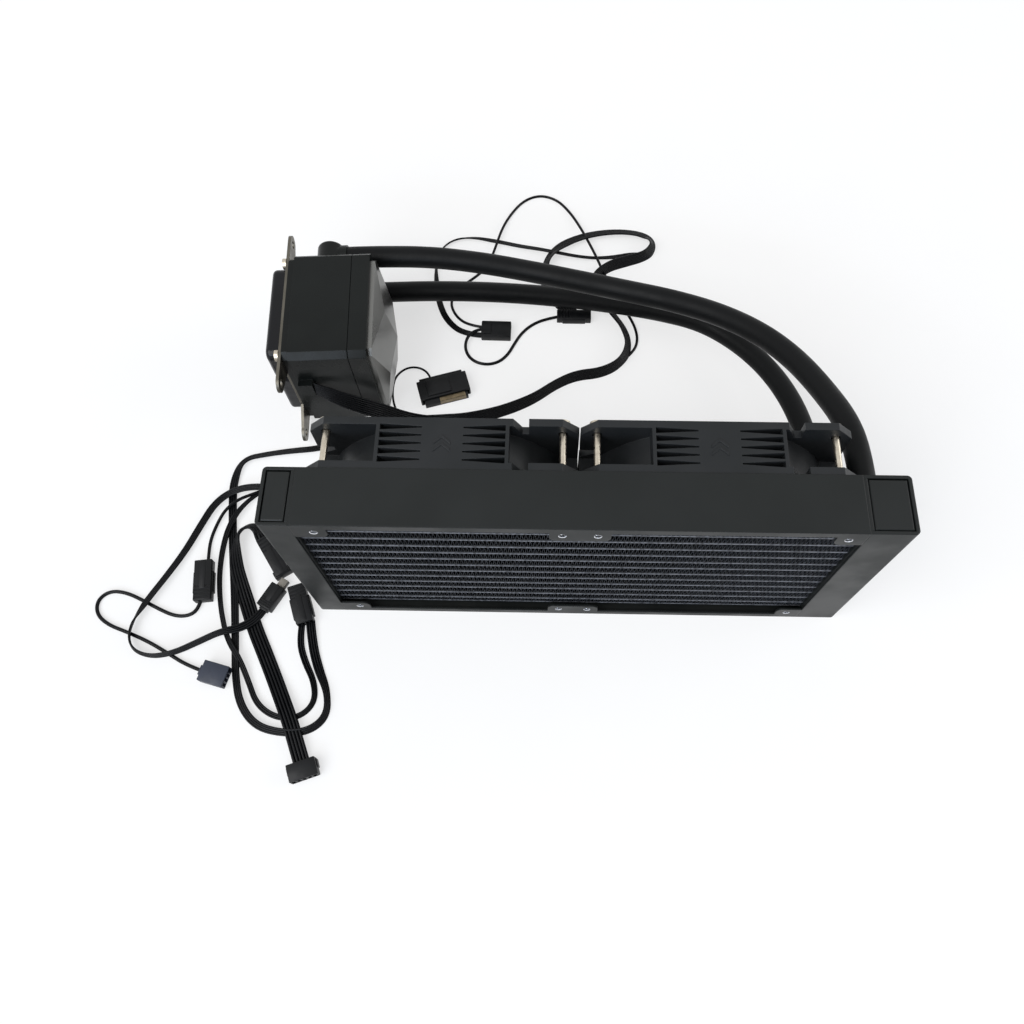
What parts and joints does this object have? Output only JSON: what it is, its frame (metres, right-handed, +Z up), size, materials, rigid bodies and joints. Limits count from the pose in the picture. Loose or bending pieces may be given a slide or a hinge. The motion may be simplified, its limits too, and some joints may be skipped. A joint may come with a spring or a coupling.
{
  "type": "all in one cpu liquid cooler",
  "caption": "Liquid cooler with a slim radiator, fans behind it, a square pump block with a faceted cap, hoses and loose flat cables.",
  "frame": {"origin": "middle of the radiator's standing edge, halfway between the fans, on the surface", "axes": "+X along the radiator towards the hose end, +Y from the bare fin side towards the fans, +Z up"},
  "size_m": [0.396, 0.3767, 0.12],
  "materials": {
    "radiator_paint": "satin black powder coat",
    "core_paint": "thin satin black paint",
    "fan_plastic": "fine moulded texture",
    "plated_screws": "bright nickel",
    "shaft_steel": "ground steel",
    "bronze": "sintered bronze",
    "windings": "enamelled copper wire",
    "pump_plastic": "satin black plastic",
    "mirror_cap": "dark mirror-like plastic",
    "board": "circuit board",
    "impeller_plastic": "light engineering plastic",
    "copper": "machined copper",
    "bracket_steel": "bare steel sheet",
    "clear_cover": "smoked glossy plastic",
    "hose_rubber": "black rubber under a fine sleeve",
    "cable_black": "satin black insulation",
    "plug_plastic": "satin black nylon"
  },
  "bodies": {
    "base": {"side_plate_upper": "radiator_paint", "side_plate_lower": "radiator_paint", "return_tank": "radiator_paint", "inlet_tank": "radiator_paint", "tank_end_caps": "radiator_paint", "header_plate_left": "radiator_paint", "header_plate_right": "radiator_paint", "flat_tubes": "core_paint", "core_guards": "core_paint", "fin_strips": "core_paint", "fan_frame_left": "fan_plastic", "fan_frame_right": "fan_plastic", "fan_screws": "plated_screws", "bracket_studs": "plated_screws", "impeller_shaft": "shaft_steel", "fan_bearing_left": "bronze", "fan_bearing_right": "bronze", "fan_stator_left": "windings", "fan_stator_right": "windings", "pump_stator": "windings", "pump_base": "pump_plastic", "pump_housing": "pump_plastic", "front_ring": "pump_plastic", "elbow_upper": "pump_plastic", "elbow_lower": "pump_plastic", "faceted_cap": "mirror_cap", "light_board": "board", "cold_plate": "copper", "mounting_bracket": "bracket_steel", "cold_plate_cover": "clear_cover", "hose_upper": "hose_rubber", "hose_lower": "hose_rubber", "pump_ribbon": "cable_black", "light_lead": "cable_black", "looped_lead": "cable_black", "header_lead": "cable_black", "power_wire": "cable_black", "fan_lead_long": "cable_black", "fan_lead_second": "cable_black", "sync_ribbon": "cable_black", "strap_lead": "cable_black", "loop_lead": "cable_black", "coupler_lead": "cable_black", "drive_power_plug": "plug_plastic", "header_plug": "plug_plastic", "hub_plug": "plug_plastic", "light_coupler": "plug_plastic", "loop_coupler": "plug_plastic", "end_plug": "plug_plastic", "tank_side_plug": "plug_plastic", "fan_plug_short": "plug_plastic", "fan_plug_long": "plug_plastic"},
    "fan_left": {"fan_rotor_left": "fan_plastic", "fan_shaft_left": "shaft_steel"},
    "fan_right": {"fan_rotor_right": "fan_plastic", "fan_shaft_right": "shaft_steel"},
    "impeller": {"impeller": "impeller_plastic"}
  },
  "joints": [
    {"name": "fan_left_spin", "type": "hinge", "parent": "base", "child": "fan_left", "pos_m": [-0.06, 0.026, 0.06], "axis": [0, 1, 0], "continuous": true},
    {"name": "fan_right_spin", "type": "hinge", "parent": "base", "child": "fan_right", "pos_m": [0.06, 0.026, 0.06], "axis": [0, 1, 0], "continuous": true},
    {"name": "impeller_spin", "type": "hinge", "parent": "base", "child": "impeller", "pos_m": [-0.14632, 0.13558, 0.034], "axis": [0.9983, 0.0576, 0], "continuous": true}
  ]
}
